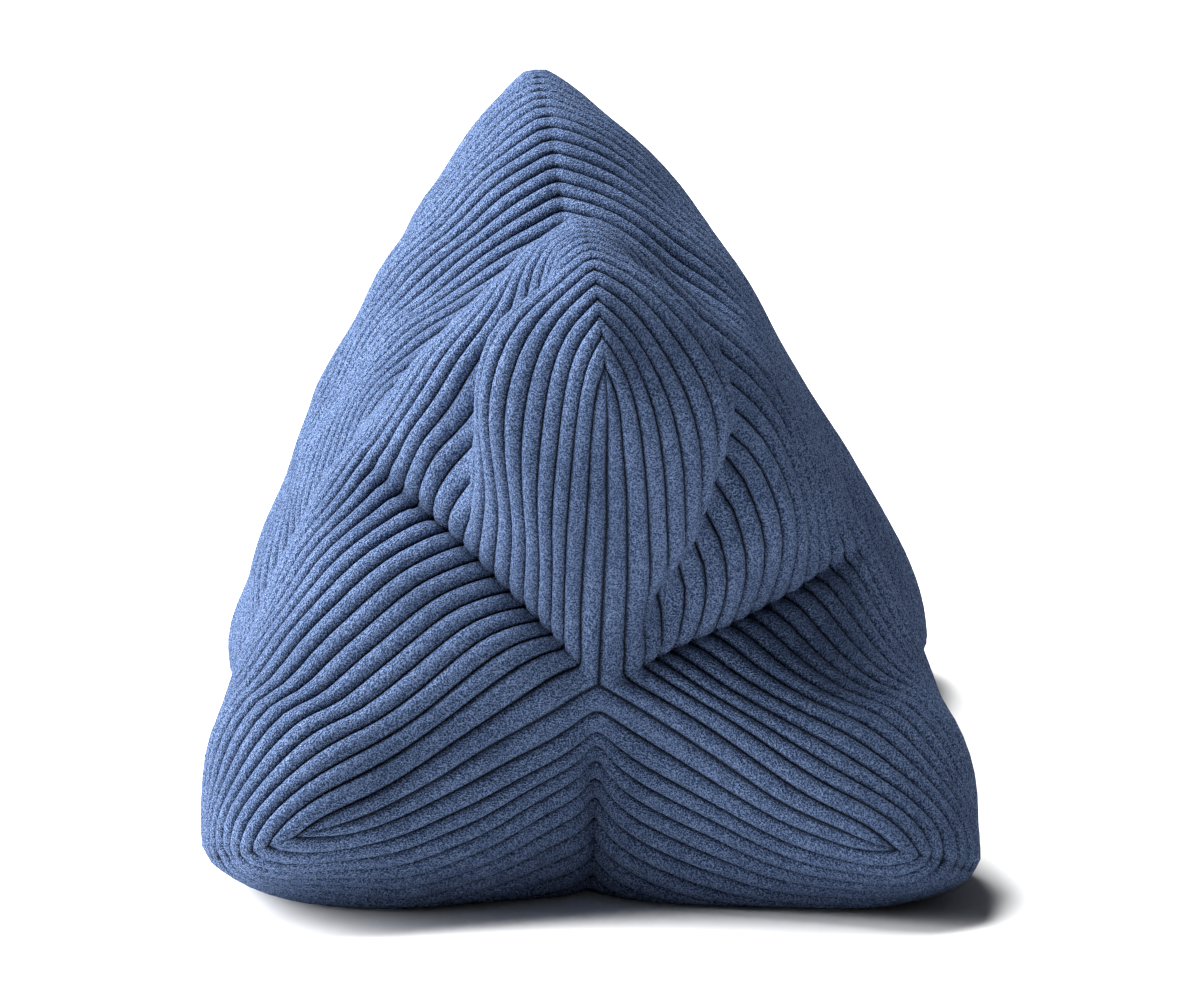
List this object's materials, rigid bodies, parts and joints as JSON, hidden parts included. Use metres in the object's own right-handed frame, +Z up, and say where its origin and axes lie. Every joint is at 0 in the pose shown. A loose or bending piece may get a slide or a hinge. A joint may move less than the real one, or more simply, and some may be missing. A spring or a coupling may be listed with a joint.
{
  "type": "reading cushion",
  "caption": "Stuffed, lobed reading cushion in blue wide-wale corduroy, bone-shaped from each side, with Y-shaped end seams and a drawn-in waist.",
  "frame": {"origin": "on the floor plane, under the centre of the cushion's box", "axes": "+Z up, +Y along the cushion's length away from the viewer, +X to the viewer's right"},
  "size_m": [0.2472, 0.4196, 0.2122],
  "materials": {
    "corduroy": "matte wide-wale corduroy with a soft pile"
  },
  "bodies": {
    "root": {"cushion": "corduroy"}
  },
  "joints": []
}
